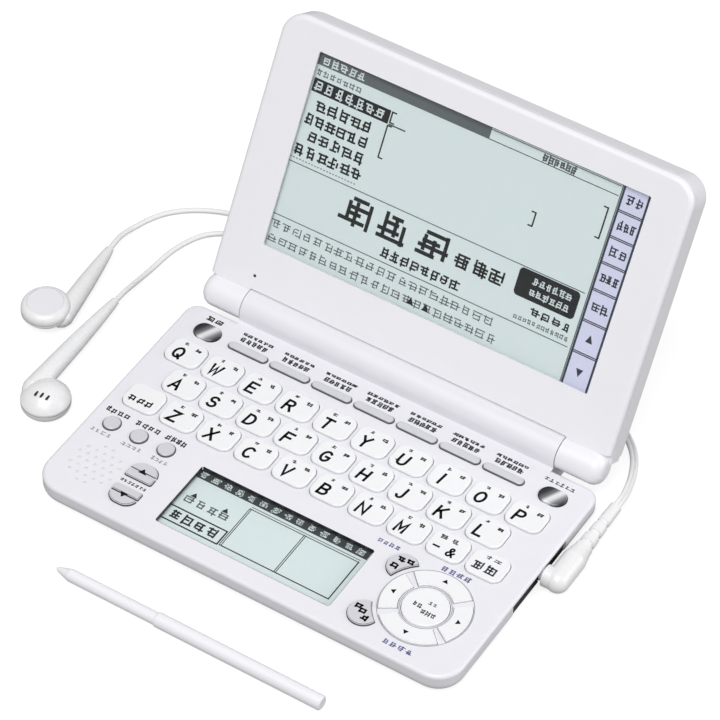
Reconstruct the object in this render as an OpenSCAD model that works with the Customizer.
// Electronic dictionary: a clamshell with a letter keyboard, a writing panel and a wide screen,
// with its stylus and its earphones. Millimetres, +Z up, the table at Z 0, the keyboard towards -Y.
// Lengths along Y below are measured back from the front face of the base.

/* [Base case] */
// Width of the base
base_w = 148; // [144:0.5:154]
// Depth of the keyboard deck
deck_d = 87.2; // [86:0.2:92]
// Height of the deck above the table
deck_z = 8.6; // [8.4:0.1:9.4]
// Height of the rubber feet below the case
foot_h = 0.6; // [0.3:0.1:1.2]
// Radius of a foot
foot_r = 4; // [2.5:0.5:6]
// Height of the seam between the two halves of the case
seam_z = 5; // [4.8:0.1:5.2]
// Thickness of the side walls
wall = 1.4; // [1:0.1:1.8]
// Thickness of the deck plate
deck_t = 1.3; // [1:0.1:1.5]
// Thickness of the floor
floor_t = 1.2; // [0.9:0.1:1.3]
// Radius of the front corners in plan
front_r = 9; // [7:0.5:11]
// Radius of the back corners in plan
back_r = 4.6; // [4.4:0.1:6]
// Radius of the lower edge
under_r = 4.2; // [3:0.1:4.3]
// Radius of the upper edge
top_r = 1.2; // [0.6:0.1:1.6]

/* [Hinge] */
// Distance of the hinge axis behind the deck
hinge_back = 5.9; // [5.8:0.1:7]
// Height of the hinge axis above the deck
hinge_up = 2.85; // [2.7:0.05:3.4]
// Radius of the barrel on the base
barrel_r = 5.5; // [4.8:0.1:5.6]
// Length of the barrel
barrel_w = 113.6; // [108:0.2:118]
// Radius of the ears on the lid
ear_r = 5.4; // [4.8:0.1:5.4]
// Rounding of the outer end of an ear
ear_end_r = 3.5; // [2:0.1:4]
// Gap between barrel and ear
ear_gap = 0.3; // [0.2:0.05:0.6]
// Radius of a hinge pin
pin_r = 1.5; // [1:0.1:2]
// Radial clearance of a hinge pin in its ear
pin_fit = 0.05; // [0.02:0.01:0.1]
// Length of a hinge pin inside the barrel
pin_hold = 5.7; // [4:0.1:6]

/* [Lid] */
// Width of the lid
lid_w = 144.2; // [140:0.2:148]
// Height of the lid from the hinge axis
lid_h = 94.15; // [91:0.05:97]
// Thickness of the lid
lid_t = 12.4; // [11:0.1:13]
// Distance of the screen side in front of the hinge axis
lid_face = 1.75; // [1.4:0.05:1.8]
// Angle of the lid, counted from closed
lid_open = 120.7; // [100:0.1:149]
// Thickness of the bezel
bezel_t = 2.7; // [2.5:0.1:3]
// Depth of the lid's middle band behind the bezel
band_t = 6.2; // [5:0.1:6.8]
// Step from the middle band to the back of the lid
band_step = 0.35; // [0.2:0.05:0.6]
// Radius of the upper corners of the lid
lid_corner_r = 8; // [6:0.5:10]
// Radius of the edge round the screen side
lid_front_r = 1.7; // [0.6:0.1:1.8]
// Radius of the edge round the back
lid_back_r = 1.6; // [1:0.1:2]
// Width of the screen window
window_w = 116.3; // [110:0.1:118]
// Height of the screen window
window_h = 64.75; // [60:0.25:67]
// Sideways place of the screen window
window_x = 0.9; // [0:0.1:1.4]
// Height of the middle of the window above the hinge axis
window_v = 52.9; // [52:0.1:54]
// Depth of the screen glass below the bezel
glass_deep = 0.8; // [0.5:0.1:1.1]
// Thickness of the screen glass
glass_t = 1; // [0.7:0.1:1.1]
// Width of the touch strip beside the screen
strip_w = 9.6; // [7:0.1:12]

/* [Letter keys] */
// Width of a letter key
key_w = 12.3; // [11.4:0.1:12.4]
// Depth of a letter key
key_d = 10; // [9:0.1:10.1]
// Corner radius of a letter key
key_r = 3; // [2:0.1:4]
// Sideways pitch of the letter keys
key_pitch = 13.67; // [13.5:0.01:13.8]
// Pitch of the rows
row_pitch = 11.3; // [11.2:0.05:11.4]
// Place of the first key of the back and front rows
key_x = -62.9; // [-63.4:0.1:-62.5]
// Share of the spare depth between the arrow keys and the letter keys
row_share = 0.21; // [0.19:0.005:0.22]
// Rise of the letter keys above the deck
key_rise = 0.85; // [0.75:0.05:0.9]
// Travel of the letter keys
key_travel = 0.7; // [0.5:0.05:0.7]
// Gap round every key in the deck
key_gap = 0.25; // [0.15:0.05:0.3]
// Rounding of the top edge of every key
key_edge = 0.5; // [0.3:0.05:0.55]
// Reach of the flange that keeps a key in the deck
flange = 0.5; // [0.4:0.05:0.55]
// Thickness of a key's flange
flange_t = 0.5; // [0.4:0.05:0.6]

/* [Other keys] */
// Rise of the other keys above the deck
small_rise = 0.65; // [0.55:0.05:0.75]
// Travel of the other keys
small_travel = 0.5; // [0.3:0.05:0.6]
// Width of a bar key
bar_w = 14.1; // [13:0.1:14.2]
// Depth of a bar key
bar_d = 2.9; // [2.4:0.1:3.4]
// Pitch of the bar keys
bar_pitch = 15.4; // [15.2:0.05:15.6]
// Share of the spare depth between the letter keys and the oval keys
oval_share = 0.14; // [0.12:0.005:0.15]
// Width of the two oval keys
oval_w = 9; // [8:0.1:9.4]
// Depth of the two oval keys
oval_d = 6.4; // [5.6:0.1:6.8]
// Distance of the middle of an oval key from the side of the base
oval_side = 11.6; // [11:0.1:12]
// Radius of a round key
round_r = 2.8; // [2.2:0.1:3.2]
// Pitch of the round keys
round_pitch = 10; // [9:0.1:11]
// Distance of the round key nearest the writing panel from the left side of the base
round_side = 28.3; // [27.6:0.1:29.4]
// Distance of the round keys behind the middle of the round cluster
round_back = 9.8; // [9.4:0.1:10.6]
// Width of a page key
page_w = 9.4; // [8.6:0.1:9.8]
// Depth of a page key
page_d = 6.8; // [6:0.1:7.2]
// Distance of the page keys from the left side of the base
page_side = 27.9; // [27.6:0.1:28.4]
// Distance of the page-up key in front of the middle of the round cluster
page_up_front = 1.5; // [1:0.1:2]
// Pitch of the two page keys
page_pitch = 10.7; // [10:0.1:11]

/* [Arrow keys] */
// Distance of the middle of the round cluster from the right side of the base
nav_side = 21; // [20.5:0.1:21.5]
// Share of the spare depth in front of the round cluster
nav_share = 0.36; // [0.34:0.005:0.37]
// Radius of the enter key
enter_r = 7.2; // [6.4:0.1:7.3]
// Inner radius of the arrow keys
arrow_in = 8.4; // [8.3:0.1:9.2]
// Outer radius of the arrow keys
arrow_out = 13.9; // [13:0.1:14.3]
// Half angle of the side arrow keys
side_half = 33; // [26:1:36]
// Half angle of the front and back arrow keys
end_half = 46; // [40:1:48]
// Radius of the two curved keys
bean_r = 4.8; // [4.2:0.1:5]
// Radius that the cluster cuts from the curved keys
bean_cut = 15.9; // [15.7:0.1:16.4]

/* [Writing panel] */
// Width of the panel opening
panel_w = 61.8; // [58:0.2:62.4]
// Depth of the panel opening
panel_d = 25.4; // [23:0.2:26]
// Sideways place of the panel
panel_x = -2; // [-2.6:0.1:-1.4]
// Distance of the middle of the panel in front of the middle of the round cluster
panel_front = 2.2; // [1.8:0.1:2.6]
// Overlap of the panel under the deck
panel_lap = 1.6; // [1:0.1:1.8]

/* [Speaker and sockets] */
// Radius of the speaker
speaker_r = 8.3; // [7:0.1:8.3]
// Radius of one sound hole
hole_r = 0.5; // [0.3:0.05:0.7]
// Pitch of the sound holes
hole_pitch = 2.9; // [2.4:0.1:3.4]
// Middle of the earphone socket
jack_y = 54; // [53.8:0.1:54.4]
// Height of the middle of the earphone socket
jack_z = 4.4; // [4.35:0.05:4.5]
// Radius of the plug's pin
plug_pin_r = 1.75; // [1.5:0.05:1.75]
// Length of the plug's pin
plug_pin_l = 14; // [12:0.5:14]
// Depth of the recess for the sockets
port_deep = 1; // [0.8:0.1:1.1]

/* [Batteries] */
// Radius of a cell
cell_r = 5.25; // [5:0.05:5.25]
// Length of a cell
cell_l = 44.5; // [43:0.5:46]
// Travel of the battery cover until it is free
cover_travel = 3; // [2:0.5:3]

/* [Stylus] */
// Length of the stylus, drawn out
pen_l = 94; // [86:1:100]
// Radius of the stylus barrel
pen_r = 2.35; // [2.3:0.05:2.8]
// Length of the barrel of the stylus
barrel_l = 58; // [50:1:62]
// Radius of the shaft of the stylus
shaft_r = 2; // [1.6:0.05:2]
// Distance of the stylus in front of the base
pen_gap = 20.5; // [16:0.5:26]

/* [Earphones] */
// Radius of an earbud
bud_r = 7.9; // [7:0.1:8.5]
// Thickness of an earbud
bud_t = 8.4; // [7.5:0.1:9.5]
// Sideways offset of an earbud from its stem
bud_off = 5.6; // [4.5:0.1:6.5]
// Radius of the stem where it leaves the earbud
stem_r = 3.5; // [3:0.1:4]
// Radius of the plug's body
plug_r = 3.8; // [3.4:0.1:3.8]
// Width of the twin lead
lead_w = 2.6; // [2.2:0.1:2.6]
// Thickness of the twin lead
lead_t = 1.4; // [1.2:0.1:1.4]
// Diameter of a branch cord
branch_w = 1.8; // [1.4:0.1:1.8]

/* [Hidden] */
$fn = 48;

case_white = "#F4F3F8";
key_white = "#F8F8FA";
key_grey = "#D5D6DB";
chrome = "#B9BBC1";
lcd_green = "#D3E2E0";
board_green = "#2F6B46";
black = "#202226";
metal = "#C9C9C6";

// Play between pieces that lie on each other
play = 0.1;
hinge_y = deck_d + hinge_back;
hinge_z = deck_z + hinge_up;
deck_under = deck_z - deck_t;
floor_z = foot_h + floor_t;
board_t = 1;
board_z = seam_z - 1.8;
mat_t = 0.6;
mat_z = board_z + board_t;
mat_in = 5;
mat_front = 4;
flange_z = deck_under - 0.08 - flange_t;
half_w = base_w / 2;

// Depth that the keys leave over, shared out over the strips of deck between them
spare_d = deck_d - 2 * arrow_out - 2 * row_pitch - key_d - oval_d;
nav_x = half_w - nav_side;
nav_y = nav_share * spare_d + arrow_out;
row_y = nav_y + arrow_out + row_share * spare_d + key_d / 2;
oval_x = half_w - oval_side;
oval_y = row_y + 2 * row_pitch + key_d / 2 + oval_share * spare_d + oval_d / 2;
bar_y = oval_y - 0.3;
round_x = -half_w + round_side;
round_y = nav_y + round_back;
page_x = -half_w + page_side;
page_up_y = nav_y - page_up_front;
page_down_y = page_up_y - page_pitch;
panel_y = nav_y - panel_front;

// Batteries behind the hinge
cell_y = hinge_y + 1.5;
cell_z = foot_h + 6.4;
bay_r = cell_r + 0.3;
housing_r = bay_r + 0.8;
bay_end = cell_l + 0.7;
cover_w = 2 * bay_end + 4;
cover_y = deck_d + 0.6;
cover_t = 0.85;
cover_lip = 3;

// Lid, in its own frame: origin on the hinge axis, Y up the lid, Z out of the screen
lid_turn = 180 - lid_open;
w_seam = lid_face - bezel_t;
w_step = w_seam - band_t;
w_back = lid_face - lid_t;
lid_wall = 1.4;
lid_skin = 1.2;
glass_lap = 1.6;
ear_in = barrel_w / 2 + ear_gap;
ear_w = lid_w / 2 - ear_in;
ear_clear = 0.4;
ear_end = 1.4;
groove_w = 0.3;
groove_deep = 0.35;
display_board_t = 0.9;
lid_boss_in = 23.9;
lid_boss_up = 22.9;
ear_root = 2;
lid_foot = 6;

// Middle of the whole object in depth, from the stylus to the top of the open lid
pen_y = -pen_gap;
lid_rear = hinge_y + (lid_h - band_step - lid_back_r) * cos(lid_turn)
    - (w_back + lid_back_r) * sin(lid_turn) + lid_back_r;
mid_y = (pen_y - pen_r + lid_rear) / 2;

// Places shared by holes, keys and the mat under them
rows = [[key_x, row_y, 10], [key_x + key_pitch / 2, row_y + row_pitch, 9],
    [key_x, row_y + 2 * row_pitch, 10]];
function letter_at(row, i) = [rows[row][0] + i * key_pitch, rows[row][1]];
bars = 7;
function bar_at(i) = [-0.9 + (i - (bars - 1) / 2) * bar_pitch, bar_y];
function round_at(i) = [round_x - (2 - i) * round_pitch, round_y];
bean_back = [nav_x - 14.1, nav_y + 9.6];
bean_front = [nav_x - 14.3, nav_y - 11.4];
arrow_angles = [90, 180, 270, 0];
arrow_halves = [end_half, side_half, end_half, side_half];
speaker_at = [-half_w + 13.5, nav_y - 6.6];
speaker_t = 2.4;
screw_in = 4.9;
front_screw = [6.5, speaker_at[1] - 7.8];
foot_in = 16;
foot_front = 9.5;
foot_back = 11.2;
screws = [for (s = [-1, 1]) each [[s * (half_w - front_screw[0]), front_screw[1]],
    [s * (half_w - screw_in), deck_d - screw_in]]];
feet = [for (s = [-1, 1], y = [foot_front, deck_d - foot_back]) [s * (half_w - foot_in), y]];
mat_split = row_y - key_d / 2 - 2.4;
post_front = row_y - 6.4;
post_back = bar_y - 3.8;
posts = [for (x = [-half_w + foot_in, -20, 20, half_w - 22], y = [post_front, post_back]) [x, y]];
boss_r = 2;
head_r = 1.6;
shank_r = 0.9;
screw_l = 5.2;

// Sockets in the right wall
port_y = [36.1, 66.5];
port_z = [2, deck_under + 0.2];
port_x = half_w - port_deep;
port_panel_t = 0.6;
port_back = 1;
usb_y = 62.3;
usb_w = 7.5;
usb_h = 2.7;
usb_l = 5.6;
jack_half = 2.4;
jack_l = 10.3;
nose_r = 2.9;
neck_gap = 0.3;
socket_r = plug_pin_r + 0.05;
socket_start = min(port_x - port_panel_t - port_back - jack_l, port_x + neck_gap - plug_pin_l) - 0.8;

// Plug
plug_x = half_w + 4.6;
neck_r = 2.3;
relief_end = 88;
relief_r = 1.9;

// Cord routes, on hand-chosen points, X and Z in the frame, Y from the front of the base
lead_route = [[plug_x, 88, 4.4], [plug_x, 90.6, 4.3], [78.2, 94, 3.6], [77.2, 98, 2.4],
    [76, 102, 1.3], [74.6, 105.8, 0.8], [72.8, 109.6, 0.75], [70.4, 113, 0.75], [67.4, 116, 0.75],
    [64.4, 118.2, 0.75], [61.4, 119.4, 0.75], [58.4, 119.2, 0.75], [55.8, 117.4, 0.75],
    [53, 114, 0.75], [49.6, 110.4, 0.75], [45.4, 107.4, 0.75], [41, 106.3, 0.75],
    [35, 106.15, 0.75]];
upper_route = [[6, 107.25, 2.6], [2, 107.3, 2.5], [-3, 107.8, 1.6], [-9, 108.6, 0.95],
    [-36, 108.6, 0.95], [-60, 108.6, 0.95], [-63.2, 109.8, 0.95], [-64.5, 113.1, 0.95],
    [-63.2, 116.4, 0.95], [-60, 117.6, 0.95], [-36, 117.6, 0.95], [-16, 117.6, 0.95],
    [-10.7, 119.8, 0.95], [-8.5, 125.1, 0.95], [-10.7, 130.4, 0.95], [-16, 132.6, 0.95],
    [-40, 132.6, 0.95], [-66, 132.8, 0.95], [-84, 132.4, 0.95], [-93, 130.2, 0.95],
    [-101, 126, 0.95], [-107, 120.6, 0.95], [-110.4, 115, 0.95], [-112.2, 109, 1.4],
    [-112.8, 103.4, 2.6], [-112.3, 98.6, 3.45], [-111.87, 95.4, 3.6]];
lower_route = [[6, 105.05, 2.6], [2, 105.1, 2.5], [-3, 105.4, 1.6], [-9, 105.6, 0.95],
    [-36, 105.6, 0.95], [-60, 105.6, 0.95], [-65.3, 107.8, 0.95], [-67.5, 113.1, 0.95],
    [-65.3, 118.4, 0.95], [-60, 120.6, 0.95], [-36, 120.6, 0.95], [-16, 120.6, 0.95],
    [-12.8, 121.8, 0.95], [-11.5, 125.1, 0.95], [-12.8, 128.4, 0.95], [-16, 129.6, 0.95],
    [-40, 129.6, 0.95], [-64, 129.6, 0.95], [-77, 127.8, 0.95], [-86, 123.2, 0.95],
    [-91.4, 118.8, 0.95], [-94.6, 112.8, 0.95], [-96.4, 106, 0.95], [-97, 98, 1.1],
    [-97.2, 90, 2.2], [-97.3, 83, 3.3], [-97.3, 77.6, 3.6]];
coil_at = [32, 125.2];
coil_r = 9.9;
coil_pitch = 3.05;
coil_turns = 6;
coil_rings = 24;
coil_low = 0.75;
coil_high = 2.6;
coil_start = 3;
coil_end = 12;
splitter_l = 14;
splitter_r = 2.5;
upper_bud_at = [-112.9, 62];
upper_stem = [-107.3, 62];
upper_stem_turn = 7.8;
lower_bud_at = [-91.7, 32.2];
stem_l = 33.7;
stem_end_r = 1.3;
stem_z = stem_r + 0.1;
grille_deep = 0.5;
lower_stem_l = 45.4;

// Everything is drawn from the front of the base and moved so that the origin is in the middle
module placed() {
    translate([0, -mid_y, 0]) children();
}

module lid_placed() {
    translate([0, hinge_y - mid_y, hinge_z]) rotate([lid_turn, 0, 0]) children();
}

// Rounded rectangle in plan, centred
module plate(w, d, r) {
    square([w - 2 * r, d], center = true);
    square([w, d - 2 * r], center = true);
    for (sx = [-1, 1], sy = [-1, 1])
        translate([sx * (w / 2 - r), sy * (d / 2 - r)]) circle(r);
}

// Plan of the base drawn in by c, with its own corner radii in front and behind
module case_plan(c) {
    w = base_w - 2 * c;
    rf = front_r - c;
    rb = back_r - c;
    y1 = deck_d - c;
    translate([-w / 2 + rf, c]) square([w - 2 * rf, y1 - rb - c]);
    translate([-w / 2 + rb, c + rf]) square([w - 2 * rb, y1 - c - rf]);
    translate([-w / 2, c + rf]) square([w, y1 - rb - c - rf]);
    for (s = [-1, 1]) {
        translate([s * (w / 2 - rf), c + rf]) circle(rf);
        translate([s * (w / 2 - rb), y1 - rb]) circle(rb);
    }
}

// Section with its lower corner at the origin side rounded to e
module edge_section(l, h, e) {
    intersection() {
        square([l, h]);
        union() {
            translate([e, 0]) square([l, h]);
            translate([0, e]) square([l, h]);
            translate([e, e]) circle(e);
        }
    }
}

// Slab w wide from y0 to y1 and h thick, corners rf in front and rb behind, lower edge rounded e
module slab(w, y0, y1, h, rf, rb, e) {
    translate([0, y1 - rb, 0]) rotate([90, 0, 0]) linear_extrude(y1 - rb - y0 - rf) {
        translate([-w / 2, 0]) edge_section(w / 2, h, e);
        mirror([1, 0]) translate([-w / 2, 0]) edge_section(w / 2, h, e);
    }
    translate([-w / 2 + rf, y0, 0]) rotate([90, 0, 90]) linear_extrude(w - 2 * rf)
        edge_section(y1 - y0 - rb, h, e);
    translate([w / 2 - rb, y1, 0]) rotate([90, 0, -90]) linear_extrude(w - 2 * rb)
        edge_section(y1 - y0 - rf, h, e);
    for (s = [-1, 1]) {
        translate([s * (w / 2 - rf), y0 + rf, 0]) rotate_extrude() disc_section(rf, h, e);
        translate([s * (w / 2 - rb), y1 - rb, 0]) rotate_extrude() disc_section(rb, h, e);
    }
}

module disc_section(r, h, e) {
    intersection() {
        translate([r, 0]) mirror([1, 0]) edge_section(r + 1, h, e);
        square([r, h]);
    }
}

// Round body along X with both end sizes the same
module rod_x(r, x0, x1) {
    translate([x0, 0, 0]) rotate([0, 90, 0]) cylinder(r = r, h = x1 - x0);
}

// Outline of the battery housing and barrel, seen from the side
module housing_section() {
    translate([hinge_y, hinge_z]) circle(barrel_r);
    translate([cell_y, cell_z]) circle(housing_r);
    translate([deck_d - 3, foot_h]) square([cell_y - deck_d + 3, deck_z - foot_h]);
    translate([hinge_y - barrel_r, deck_z - 2]) square([barrel_r * 2, hinge_up + 2]);
    polygon([[deck_d - 3, deck_z], [hinge_y - barrel_r, deck_z + 0.35],
        [hinge_y - barrel_r + 1, deck_z + 1.4], [hinge_y, deck_z]]);
}

module housing() {
    translate([-barrel_w / 2, 0, 0]) rotate([90, 0, 90]) linear_extrude(barrel_w)
        housing_section();
}

module bay() {
    translate([0, cell_y, cell_z]) rod_x(bay_r, -bay_end, bay_end);
}

// Space of the battery cover, grown by c
module cover_section(c) {
    translate([cover_y - c, 0]) square([cell_y - cover_y + c, foot_h + cover_t + c]);
    translate([cell_y - c, 0]) square([2 * housing_r, foot_h + cover_lip + c]);
}

module cover_space(c) {
    translate([-cover_w / 2 - c, 0, 0]) rotate([90, 0, 90]) linear_extrude(cover_w + 2 * c)
        cover_section(c);
}

module pin_bores() {
    for (s = [-1, 1])
        translate([0, hinge_y, hinge_z])
            rod_x(pin_r, s > 0 ? barrel_w / 2 - pin_hold : -barrel_w / 2 - 1,
                s > 0 ? barrel_w / 2 + 1 : -barrel_w / 2 + pin_hold);
}

module port_recess() {
    translate([port_x - port_panel_t, port_y[0], port_z[0]])
        cube([port_deep + port_panel_t + 1, port_y[1] - port_y[0], port_z[1] - port_z[0]]);
}

// Holes of the jack's nose and of the small socket, through wall and panel
module port_holes(c) {
    translate([0, jack_y, jack_z]) rod_x(nose_r + c, port_x - 4, port_x + 1);
    translate([port_x - 4, usb_y - usb_w / 2 - c, mat_z + play - c])
        cube([5, usb_w + 2 * c, usb_h + 2 * c]);
}

module port_backing(z0, z1) {
    translate([port_x - port_panel_t - port_back, port_y[0] - 1.5, z0])
        cube([port_back + 0.4, port_y[1] - port_y[0] + 3, z1 - z0]);
}

// The D-shaped outline of a page key, its round side towards +Y
module page_plan(c) {
    big = page_d * 0.6;
    small = 0.8;
    w = page_w + 2 * c;
    d = page_d + 2 * c;
    translate([-w / 2 + small, -d / 2]) square([w - 2 * small, small * 2]);
    translate([-w / 2, -d / 2 + small]) square([w, d - big - small]);
    translate([-w / 2 + big, -d / 2 + small]) square([w - 2 * big, d - small]);
    for (s = [-1, 1]) {
        translate([s * (w / 2 - small), -d / 2 + small]) circle(small);
        intersection() {
            translate([s * (w / 2 - big), d / 2 - big]) circle(big);
            translate([-w / 2, 0]) square([w, d / 2]);
        }
    }
}

module bean_plan(at, c) {
    difference() {
        translate(at) circle(bean_r + c);
        translate([nav_x, nav_y]) circle(bean_cut - c);
    }
}

// Sector of a ring between two radii, as wide as the half angle each way
module arrow_plan(turn, half, c) {
    reach = 2 * arrow_out;
    translate([nav_x, nav_y]) rotate(turn) difference() {
        intersection() {
            circle(arrow_out + c);
            translate([-c / sin(half), 0])
                polygon([[0, 0], [reach * cos(half), -reach * sin(half)],
                    [reach * cos(half), reach * sin(half)]]);
        }
        circle(arrow_in - c);
    }
}

// Every key's outline grown by c, for the holes in the deck
module key_plans(c) {
    for (row = [0:2], i = [0:rows[row][2] - 1])
        translate(letter_at(row, i)) plate(key_w + 2 * c, key_d + 2 * c, key_r + c);
    for (i = [0:bars - 1])
        translate(bar_at(i)) stadium_plan(bar_w, bar_d, c);
    for (s = [-1, 1]) translate([s * oval_x, oval_y]) stadium_plan(oval_w, oval_d, c);
    for (i = [0:2]) translate(round_at(i)) circle(round_r + c);
    translate([page_x, page_up_y]) page_plan(c);
    translate([page_x, page_down_y]) mirror([0, 1]) page_plan(c);
    bean_plan(bean_back, c);
    bean_plan(bean_front, c);
    translate([nav_x, nav_y]) circle(enter_r + c);
    for (i = [0:3]) arrow_plan(arrow_angles[i], arrow_halves[i], c);
}

module sound_holes() {
    reach = floor(speaker_r / hole_pitch) + 1;
    for (i = [-reach:reach], j = [-reach:reach]) {
        x = (i + (j % 2 == 0 ? 0 : 0.5)) * hole_pitch;
        y = j * hole_pitch * 0.866;
        if (x * x + y * y < pow(speaker_r - 0.6, 2)) translate(speaker_at + [x, y]) circle(hole_r);
    }
}

module lower_case() {
    placed() color(case_white) difference() {
        union() {
            translate([0, 0, foot_h]) difference() {
                slab(base_w, 0, deck_d, seam_z - foot_h, front_r, back_r, under_r);
                translate([0, 0, floor_t])
                    slab(base_w - 2 * wall, wall, deck_d - wall, seam_z, front_r - wall,
                        back_r - wall, under_r - wall);
            }
            for (at = screws) translate([at[0], at[1], floor_z - 0.2])
                cylinder(r = boss_r, h = seam_z - floor_z + 0.2);
            for (at = posts) translate([at[0], at[1], floor_z - 0.2])
                cylinder(r = 2, h = board_z - play - floor_z + 0.2);
            port_backing(floor_z, seam_z);
            intersection() {
                housing();
                translate([-half_w, deck_d - 2, 0]) cube([base_w, 40, seam_z]);
            }
        }
        bay();
        cover_space(0.15);
        port_recess();
        port_holes(play);
        for (at = screws) translate([at[0], at[1], 0]) {
            cylinder(r = shank_r + play, h = 10);
            cylinder(r = head_r + play, h = foot_h + 0.7);
        }
        for (at = feet) translate([at[0], at[1], 0]) cylinder(r = foot_r + play, h = foot_h + 0.4);
    }
}

module upper_case() {
    placed() color(case_white) difference() {
        union() {
            difference() {
                translate([0, 0, deck_z]) mirror([0, 0, 1])
                    slab(base_w, 0, deck_d, deck_z - seam_z, front_r, back_r, top_r);
                translate([0, 0, seam_z - 1]) linear_extrude(deck_under - seam_z + 1)
                    case_plan(wall);
            }
            for (at = screws) translate([at[0], at[1], seam_z])
                cylinder(r = boss_r, h = deck_under - seam_z + 0.2);
            port_backing(seam_z, deck_under + 0.1);
            intersection() {
                housing();
                translate([-half_w, deck_d - 3, seam_z]) cube([base_w, 40, 40]);
            }
        }
        translate([0, 0, deck_under - 0.5]) linear_extrude(deck_t + 1) {
            key_plans(key_gap);
            sound_holes();
            translate([panel_x, panel_y]) plate(panel_w, panel_d, 0.8);
        }
        bay();
        pin_bores();
        port_recess();
        port_holes(play);
        for (at = screws) translate([at[0], at[1], seam_z - 1])
            cylinder(r = shank_r + 0.05, h = 2.4);
    }
}

module rubber_feet() {
    placed() color(black) for (at = feet) translate([at[0], at[1], 0])
        cylinder(r = foot_r, h = foot_h + 0.4);
}

module case_screws() {
    placed() color(metal) for (at = screws) translate([at[0], at[1], foot_h + 0.1])
        difference() {
            union() {
                cylinder(r = head_r, h = 0.6);
                cylinder(r = shank_r, h = screw_l);
            }
            for (turn = [0, 90]) rotate(turn) translate([-1, -0.2, -0.1]) cube([2, 0.4, 0.4]);
        }
}

module main_board() {
    placed() color(board_green) translate([0, 0, board_z]) linear_extrude(board_t) difference() {
        translate([0, deck_d / 2]) square([base_w - 10, deck_d - 7], center = true);
        for (at = screws) translate(at) circle(boss_r + 0.6);
        socket_cut();
    }
}

// Room for the earphone socket and the plug's pin in the board and the mat
module socket_cut() {
    translate([socket_start, jack_y - jack_half - 0.6])
        square([half_w - socket_start, 2 * jack_half + 1.2]);
}

// Domes under the keys
module dome(at) {
    translate([at[0], at[1], mat_z]) cylinder(r = 1.8, h = flange_z - key_travel - 0.07 - mat_z);
}

module key_mat() {
    placed() color("#8E9096") {
        translate([0, 0, mat_z]) linear_extrude(mat_t) difference() {
            union() {
                translate([-half_w + mat_in, mat_split])
                    square([base_w - 2 * mat_in, deck_d - mat_front - mat_split]);
                translate([-half_w + mat_in, mat_front])
                    square([panel_x - panel_w / 2 - 3 + half_w - mat_in, mat_split - mat_front + 1]);
                translate([panel_x + panel_w / 2 + 3, mat_front])
                    square([half_w - panel_x - panel_w / 2 - 3 - mat_in, mat_split - mat_front + 1]);
            }
            for (at = screws) translate(at) circle(boss_r + 0.6);
            translate(speaker_at) circle(speaker_r + 0.4);
            socket_cut();
            translate([port_x - usb_l - 0.6, usb_y - usb_w / 2 - 0.5]) square([20, usb_w + 1]);
        }
        for (row = [0:2], i = [0:rows[row][2] - 1]) dome(letter_at(row, i));
        for (i = [0:bars - 1]) dome(bar_at(i));
        for (s = [-1, 1]) dome([s * oval_x, oval_y]);
        for (i = [0:2]) dome(round_at(i));
        for (at = [[page_x, page_up_y], [page_x, page_down_y], bean_back - [1.2, 0],
            bean_front - [1.2, 0], [nav_x, nav_y]]) dome(at);
        for (turn = arrow_angles)
            dome([nav_x, nav_y] + (arrow_in + arrow_out) / 2 * [cos(turn), sin(turn)]);
    }
}

module battery_cells() {
    nub = 1;
    placed() color("#3E4A5C") for (i = [0, 1])
        translate([i * cell_l - cell_l, cell_y, cell_z]) {
            rod_x(cell_r, 0.1, cell_l - nub);
            rod_x(2.7, cell_l - nub - 0.5, cell_l);
        }
}

module battery_contacts() {
    placed() color(metal) for (s = [-1, 1])
        translate([0, cell_y, cell_z]) {
            rod_x(cell_r - 1.05, s > 0 ? cell_l + 0.2 : -cell_l - 0.6, s > 0 ? cell_l + 0.6 : -cell_l - 0.2);
        }
}

module battery_cover() {
    placed() color(case_white) difference() {
        intersection() {
            housing();
            cover_space(0);
        }
        bay();
    }
}

module sub_display() {
    top = deck_under - 1.1;
    placed() color(lcd_green) translate([panel_x, panel_y, mat_z + play])
        linear_extrude(top - mat_z - play)
            plate(panel_w + 2 * panel_lap, panel_d + 2 * panel_lap, 0.6);
}

module writing_panel() {
    placed() color("#E3ECEA") translate([panel_x, panel_y, deck_under - 1])
        linear_extrude(0.95)
            plate(panel_w + 2 * panel_lap, panel_d + 2 * panel_lap, 0.6);
}

module speaker() {
    placed() color("#3A3C40") translate([speaker_at[0], speaker_at[1], mat_z + play]) {
        cylinder(r = speaker_r, h = speaker_t - 0.4);
        cylinder(r = speaker_r - 1.2, h = speaker_t);
    }
}

module earphone_jack() {
    placed() color(black) difference() {
        union() {
            translate([port_x - port_panel_t - port_back - jack_l, jack_y - jack_half,
                jack_z - jack_half])
                cube([jack_l - play, 2 * jack_half, 2 * jack_half]);
            translate([0, jack_y, jack_z]) rod_x(nose_r - 0.5, port_x - 3, port_x);
        }
        translate([0, jack_y, jack_z]) rod_x(socket_r, port_x - 20, port_x + 1);
    }
}

module usb_socket() {
    placed() color(metal) translate([port_x - usb_l, usb_y - usb_w / 2, mat_z + play])
        difference() {
            cube([usb_l, usb_w, usb_h]);
            translate([1, 0.5, 0.5]) cube([usb_l, usb_w - 1, usb_h - 1]);
        }
}

module port_panel() {
    placed() color(black) difference() {
        translate([port_x - port_panel_t + 0.05, port_y[0] + 0.05, port_z[0] + 0.05])
            cube([port_panel_t - 0.05, port_y[1] - port_y[0] - 0.1,
                port_z[1] - port_z[0] - 0.1]);
        port_holes(0.05);
    }
}

module hinge_pins() {
    placed() color(metal) translate([0, hinge_y, hinge_z]) {
        rod_x(pin_r, barrel_w / 2 - pin_hold, ear_in + ear_w - ear_end);
        rod_x(pin_r, -ear_in - ear_w + ear_end, -barrel_w / 2 + pin_hold);
    }
}

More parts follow.
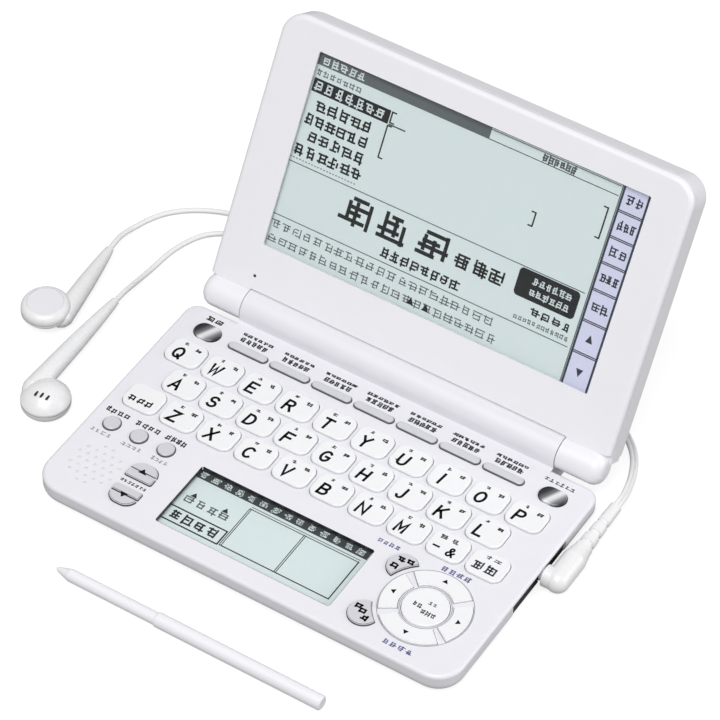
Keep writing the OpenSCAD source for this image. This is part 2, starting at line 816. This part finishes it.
// Plan of the lid between two heights, upper corners rounded
module lid_plan(inset, low) {
    w = lid_w - 2 * inset;
    top = lid_h - inset;
    r = lid_corner_r - inset;
    translate([-w / 2, low]) square([w, top - r - low]);
    translate([-w / 2 + r, low]) square([w - 2 * r, top - low]);
    for (s = [-1, 1]) translate([s * (w / 2 - r), top - r]) circle(r);
}

module ear_section() {
    intersection() {
        square([ear_r, ear_w]);
        union() {
            square([ear_r, ear_w - ear_end_r]);
            square([ear_r - ear_end_r, ear_w]);
            translate([ear_r - ear_end_r, ear_w - ear_end_r]) circle(ear_end_r);
        }
    }
}

module ears() {
    for (s = [0, 1]) mirror([s, 0, 0]) translate([ear_in, 0, 0]) rotate([0, 90, 0])
        rotate_extrude() ear_section();
}

module lid_back_cover() {
    lid_placed() color(case_white) difference() {
        union() {
            ears();
            translate([0, 0, w_step]) linear_extrude(band_t) lid_plan(groove_deep, ear_root);
            translate([0, 0, w_step]) linear_extrude(band_t - groove_w) lid_plan(0, ear_root);
            translate([0, 0, w_back])
                slab(lid_w - 2 * band_step, ear_root, lid_h - band_step, w_step - w_back + 0.1,
                    lid_back_r + 0.1, lid_corner_r - band_step, lid_back_r);
        }
        difference() {
            translate([0, 0, w_back + lid_skin]) linear_extrude(lid_t)
                intersection() {
                    lid_plan(lid_wall, lid_foot + 2);
                    translate([-lid_w / 2, lid_foot + 2]) square([lid_w, lid_h]);
                }
            for (s = [-1, 1], t = [-1, 1])
                translate([s * (lid_w / 2 - lid_boss_in), window_v + t * lid_boss_up, w_back])
                    cylinder(r = 2.2, h = lid_boss_h);
        }
        translate([-ear_in + 0.1, -lid_t, -lid_t])
            cube([2 * ear_in - 0.2, lid_t + lid_foot, 2 * lid_t]);
        for (s = [0, 1]) mirror([s, 0, 0])
            rod_x(pin_r + pin_fit, ear_in - 1, ear_in + ear_w - ear_end + play);
    }
}

module lid_bezel() {
    low = ear_root + 1.5;
    lid_placed() color(case_white) difference() {
        translate([0, 0, lid_face]) mirror([0, 0, 1])
            slab(lid_w, low, lid_h, bezel_t - 0.02, lid_front_r + 0.1, lid_corner_r, lid_front_r);
        translate([window_x, window_v, w_seam - 1]) linear_extrude(bezel_t + 2)
            plate(window_w, window_h, 0.6);
        translate([window_x, window_v, w_seam - 1])
            linear_extrude(bezel_t + 1 - glass_deep + 0.05)
                plate(window_w + 2 * glass_lap + 0.3, window_h + 2 * glass_lap + 0.3, 0.8);
        rod_x(ear_r + 0.06, -lid_w, lid_w);
        rod_x(barrel_r + ear_clear, -ear_in + 0.1, ear_in - 0.1);
    }
}

module screen_window() {
    lid_placed() color("#DDE8E6") translate([window_x, window_v, lid_face - glass_deep - glass_t])
        linear_extrude(glass_t)
            plate(window_w + 2 * glass_lap, window_h + 2 * glass_lap, 0.6);
}

display_top = lid_face - glass_deep - glass_t - play;
display_t = 2.2;
display_board_w = display_top - display_t - play - display_board_t;
lid_boss_h = display_board_w - play - w_back;
strip_x = window_x + window_w / 2 - strip_w;

module main_display() {
    left = window_x - window_w / 2 - 1;
    lid_placed() color(lcd_green)
        translate([left, window_v - window_h / 2 - 1, display_top - display_t])
            cube([strip_x - 0.15 - left, window_h + 2, display_t]);
}

module touch_strip() {
    lid_placed() color("#C9CBE4")
        translate([strip_x, window_v - window_h / 2 - 1, display_top - display_t])
            cube([strip_w + 1, window_h + 2, display_t]);
}

module display_board() {
    w = window_w - 4;
    h = window_h - 6.75;
    lid_placed() color(board_green)
        translate([window_x - w / 2, window_v - h / 2, display_board_w])
            cube([w, h, display_board_t]);
}

// Key with its flange under the deck, its top edge rounded
module key_cap(w, d, r, rise) {
    translate([0, 0, deck_z + rise]) mirror([0, 0, 1])
        slab(w, -d / 2, d / 2, deck_z + rise - flange_z, r, r, key_edge);
    translate([0, 0, flange_z]) linear_extrude(flange_t)
        plate(w + 2 * flange, d + 2 * flange, r + flange);
}

module disc_key(r, rise) {
    translate([0, 0, deck_z + rise]) mirror([0, 0, 1]) rotate_extrude()
        disc_section(r, deck_z + rise - flange_z, key_edge);
    translate([0, 0, flange_z]) cylinder(r = r + flange - 0.1, h = flange_t);
}

module letter_key(row, i) {
    placed() color(key_white) translate(letter_at(row, i)) key_cap(key_w, key_d, key_r, key_rise);
}

module letter_row_back() {
    for (i = [0:9]) letter_key(2, i);
}

module letter_row_middle() {
    for (i = [0:8]) letter_key(1, i);
}

module letter_row_front() {
    for (i = [1:8]) letter_key(0, i);
}

module shift_key() {
    letter_key(0, 0);
}

module delete_key() {
    letter_key(0, 9);
}

// Key with half-round ends
module stadium_key(w, d) {
    r = d / 2;
    t = deck_z + small_rise - flange_z;
    translate([0, 0, deck_z + small_rise]) mirror([0, 0, 1]) {
        for (s = [-1, 1]) translate([s * (w / 2 - r), 0, 0]) rotate_extrude()
            disc_section(r, t, key_edge);
        translate([-w / 2 + r, 0, 0]) rotate([90, 0, 90]) linear_extrude(w - 2 * r) {
            disc_section(r, t, key_edge);
            mirror([1, 0]) disc_section(r, t, key_edge);
        }
    }
    translate([0, 0, flange_z]) linear_extrude(flange_t) stadium_plan(w, d, flange - 0.1);
}

module stadium_plan(w, d, c) {
    square([w - d, d + 2 * c], center = true);
    for (s = [-1, 1]) translate([s * (w - d) / 2, 0]) circle(d / 2 + c);
}

module function_key(i) {
    placed() color(key_grey) translate(bar_at(i)) stadium_key(bar_w, bar_d);
}

module oval_key(s) {
    placed() color(chrome) translate([s * oval_x, oval_y]) stadium_key(oval_w, oval_d);
}

module power_key() {
    oval_key(-1);
}

module backlight_key() {
    oval_key(1);
}

module round_key(i) {
    placed() color(key_grey) translate(round_at(i)) disc_key(round_r, small_rise);
}

// Key of any outline: a flange, the body and a slightly smaller top
module flat_key(rise) {
    translate([0, 0, flange_z]) linear_extrude(flange_t) children(0);
    translate([0, 0, flange_z]) linear_extrude(deck_z + rise - flange_z - 0.25) children(1);
    translate([0, 0, flange_z]) linear_extrude(deck_z + rise - flange_z) children(2);
}

module page_up_key() {
    placed() color(key_grey) translate([page_x, page_up_y]) flat_key(small_rise) {
        page_plan(flange - 0.1);
        page_plan(0);
        page_plan(-0.25);
    }
}

module page_down_key() {
    placed() color(key_grey) translate([page_x, page_down_y]) mirror([0, 1, 0])
        flat_key(small_rise) {
            page_plan(flange - 0.1);
            page_plan(0);
            page_plan(-0.25);
        }
}

module bean_key(at) {
    placed() color(key_grey) flat_key(small_rise) {
        bean_plan(at, flange - 0.1);
        bean_plan(at, 0);
        bean_plan(at, -0.25);
    }
}

module curved_key_back() {
    bean_key(bean_back);
}

module curved_key_front() {
    bean_key(bean_front);
}

module arrow_key(i) {
    placed() color(key_white) flat_key(small_rise) {
        arrow_plan(arrow_angles[i], arrow_halves[i], 0.35);
        arrow_plan(arrow_angles[i], arrow_halves[i], 0);
        arrow_plan(arrow_angles[i], arrow_halves[i], -0.25);
    }
}

module enter_key() {
    placed() color(key_white) translate([nav_x, nav_y]) disc_key(enter_r, small_rise);
}

pen_end_x = 44.1;
pen_tip_x = pen_end_x - pen_l;
pen_joint_x = pen_end_x - barrel_l;

module stylus_barrel() {
    bore = shaft_r + 0.05;
    placed() color(case_white) translate([pen_joint_x, pen_y, pen_r]) rotate([0, 90, 0])
        rotate_extrude() difference() {
            polygon([[0, 0], [pen_r - 0.2, 0], [pen_r, 0.5], [pen_r, barrel_l - 0.4],
                [pen_r - 0.4, barrel_l], [0, barrel_l]]);
            translate([-1, -1]) square([bore + 1, barrel_l - 1]);
        }
}

module stylus_shaft() {
    tip_l = 5;
    placed() color(case_white) translate([pen_tip_x, pen_y, pen_r]) rotate([0, 90, 0])
        rotate_extrude() union() {
            polygon([[0, 0.1], [0.35, 0.1], [0.7, 0.5], [shaft_r, tip_l],
                [shaft_r, pen_l - barrel_l + 26], [0, pen_l - barrel_l + 26]]);
        }
}

// Plug: a neck, a short barrel, a corner and a leg that ends in the ribbed relief
module relief_section() {
    leg = 9.6;
    start = 14;
    polygon([[0, 0], [plug_r, 0], [plug_r, leg], [2.9, start], [2.8, start + 1.4],
        [2, start + 1.6], [1.95, start + 2.8], [2.55, start + 3], [2.4, start + 6.2],
        [1.75, start + 6.4], [1.7, start + 7.6], [2.25, start + 7.8], [2.15, start + 11.2],
        [1.6, start + 11.4], [1.6, start + 12.6], [2.05, start + 12.8],
        [relief_r, relief_end - jack_y], [0, relief_end - jack_y]]);
}

module earphone_plug() {
    placed() color(case_white) {
        translate([0, jack_y, jack_z]) {
            rod_x(neck_r, port_x + neck_gap, half_w + 1);
            rod_x(plug_r - 0.3, half_w + 0.5, plug_x);
            translate([plug_x, 0, 0]) sphere(plug_r);
            translate([plug_x, 0, 0]) rotate([-90, 0, 0]) rotate_extrude() relief_section();
        }
    }
}

module plug_contact() {
    r = plug_pin_r;
    l = plug_pin_l;
    placed() color(metal) translate([port_x + neck_gap, jack_y, jack_z]) rotate([0, -90, 0])
        rotate_extrude()
            polygon([[0, 0], [r, 0], [r, l - 7], [r - 0.12, l - 6.9], [r - 0.12, l - 6.4],
                [r, l - 6.3], [r, l - 4.2], [r - 0.12, l - 4.1], [r - 0.12, l - 3.6],
                [r, l - 3.5], [r, l - 3], [r - 0.6, l - 2.2], [r - 0.2, l - 1.4],
                [r - 1, l - 0.2], [r - 1.4, l], [0, l]]);
}

// Tube along a path: ring corners by the path's direction, level with the table
function unit(v) = v / norm(v);
function heading(path, i) =
    unit(path[min(i + 1, len(path) - 1)] - path[max(i - 1, 0)]);
function ring(at, along, w, t, sides, turn) =
    let (side = unit(cross([0, 0, 1], along)), up = cross(along, side))
    [for (k = [0:sides - 1]) let (a = turn + 360 * k / sides)
        at + side * (w / 2 * cos(a)) + up * (t / 2 * sin(a))];
function tube_points(path, w, t, sides, turn) =
    [for (i = [0:len(path) - 1]) each ring(path[i], heading(path, i), w, t, sides, turn)];
function tube_faces(n, sides) = concat(
    [for (k = [1:sides - 2]) [0, k, k + 1]],
    [for (k = [1:sides - 2]) [0, k + 1, k] + [1, 1, 1] * (n - 1) * sides],
    [for (i = [0:n - 2], k = [0:sides - 1]) let (a = i * sides + k, b = i * sides + (k + 1) % sides)
        each [[a, a + sides, b], [b, a + sides, b + sides]]]);

// The end rings stand square to what they meet
module tube(path, w, t, sides, turn) {
    polyhedron(tube_points(path, w, t, sides, turn), tube_faces(len(path), sides));
}

module main_lead() {
    placed() color(case_white) tube(lead_route, lead_w, lead_t, 8, 22.5);
}

module upper_branch_cord() {
    placed() color(case_white) tube(upper_route, branch_w, branch_w, 8, 22.5);
}

module lower_branch_cord() {
    placed() color(case_white) tube(lower_route, branch_w, branch_w, 8, 22.5);
}

// The coil spirals in on the table, climbs in the half turn at its inside and spirals out again
function coil_radius(t) = coil_r + coil_pitch * abs(t - coil_turns / 2);
function climb(t) = let (s = min(1, max(0, (t - coil_turns / 2) * 2 + 0.5))) s * s * (3 - 2 * s);
function coil_point(t) = [coil_at[0] - coil_radius(t) * sin(360 * t),
    coil_at[1] - coil_radius(t) * cos(360 * t), coil_low + (coil_high - coil_low) * climb(t)];
coil_edge = coil_at[1] - coil_radius(0);
coil_path = concat([[coil_at[0] + coil_start, coil_edge, coil_low]],
    [for (i = [0:coil_turns * coil_rings]) coil_point(i / coil_rings)],
    [for (i = [1:3]) [coil_at[0] - coil_end * i / 3, coil_edge, coil_high]]);
function coil_gap() = let (p = tube_points(coil_path, lead_w, lead_t, 6, 0), n = len(coil_path))
    min([for (i = [0:n - 1], j = [i + 12:n - 1]) if (norm(coil_path[i] - coil_path[j]) < 5)
        min([for (a = [0:5], b = [0:5]) norm(p[i * 6 + a] - p[j * 6 + b])])]);

module cord_coil() {
    echo(least_gap_of_the_coil = coil_gap());
    placed() color(case_white) tube(coil_path, lead_w, lead_t, 6, 0);
}

module cord_splitter() {
    r = splitter_r;
    l = splitter_l;
    placed() color(case_white) translate([coil_at[0] - coil_end, coil_edge, coil_high])
        rotate([0, -90, 0]) rotate_extrude()
            polygon([[0, 0], [1.6, 0], [r - 0.3, 3], [r, 4], [r, l - 1], [r - 0.4, l], [0, l]]);
}

// Earbud: the capsule lies on its round back, the stem starts beside its middle
module bud_section() {
    back_r = bud_r + 1.4;
    rim = 2.4;
    intersection() {
        translate([0, back_r]) circle(back_r);
        union() {
            translate([0, -2]) square([bud_r, bud_t + 2 - rim]);
            translate([0, -2]) square([bud_r - rim, bud_t + 2]);
            translate([bud_r - rim, bud_t - rim]) circle(rim);
        }
        square([2 * bud_r, 2 * bud_r]);
    }
}

module capsule(face_up) {
    translate([0, 0, face_up ? 0 : bud_t]) mirror([0, 0, face_up ? 0 : 1]) rotate_extrude()
        bud_section();
}

// Stem with its own radius where the cord leaves it
module stem(l) {
    fall = stem_r - stem_end_r;
    rotate([-90, 0, 0]) rotate_extrude()
        polygon([[0, -stem_r + 1.2], [1.8, -stem_r + 1.2], [stem_r - 0.6, -0.8], [stem_r, 1],
            [stem_r - fall * 0.16, l * 0.3], [stem_r - fall * 0.34, l * 0.55],
            [stem_r - fall * 0.58, l * 0.76], [stem_r - fall * 0.84, l * 0.93],
            [stem_end_r, l], [0, l]]);
}

module upper_earbud() {
    placed() color(case_white) difference() {
        union() {
            translate([upper_bud_at[0], upper_bud_at[1], 0]) capsule(true);
            translate([upper_stem[0], upper_stem[1], stem_z]) rotate(upper_stem_turn)
                stem(stem_l);
        }
        translate([upper_bud_at[0], upper_bud_at[1], bud_t - grille_deep])
            cylinder(r = bud_r - 2, h = 2);
    }
}

module lower_earbud() {
    placed() color(case_white) difference() {
        union() {
            translate([lower_bud_at[0], lower_bud_at[1], 0]) capsule(false);
            translate([lower_bud_at[0] - bud_off, lower_bud_at[1], stem_z])
                stem(lower_stem_l);
        }
        translate([lower_bud_at[0], lower_bud_at[1], grille_deep - 2])
            cylinder(r = bud_r - 2, h = 2);
    }
}

module earbud_grilles() {
    placed() color(key_grey) {
        translate([upper_bud_at[0], upper_bud_at[1], bud_t - grille_deep])
            cylinder(r = bud_r - 2.1, h = 0.3);
        translate([lower_bud_at[0], lower_bud_at[1], 0.2]) cylinder(r = bud_r - 2.1, h = grille_deep - 0.2);
    }
}

lower_case();
upper_case();
rubber_feet();
case_screws();
main_board();
key_mat();
battery_cells();
battery_contacts();
battery_cover();
sub_display();
writing_panel();
speaker();
earphone_jack();
usb_socket();
port_panel();
hinge_pins();
lid_back_cover();
lid_bezel();
main_display();
screen_window();
touch_strip();
display_board();
power_key();
backlight_key();
function_key(0);  // function_key_1
function_key(1);  // function_key_2
function_key(2);  // function_key_3
function_key(3);  // function_key_4
function_key(4);  // function_key_5
function_key(5);  // function_key_6
function_key(6);  // function_key_7
round_key(0);  // round_key_1
round_key(1);  // round_key_2
round_key(2);  // round_key_3
page_up_key();
page_down_key();
curved_key_back();
curved_key_front();
arrow_key(0);  // arrow_key_up
arrow_key(1);  // arrow_key_left
arrow_key(2);  // arrow_key_down
arrow_key(3);  // arrow_key_right
enter_key();
shift_key();
delete_key();
letter_row_back();
letter_row_middle();
letter_row_front();
stylus_barrel();
stylus_shaft();
earphone_plug();
plug_contact();
main_lead();
cord_coil();
cord_splitter();
upper_branch_cord();
lower_branch_cord();
upper_earbud();
lower_earbud();
earbud_grilles();
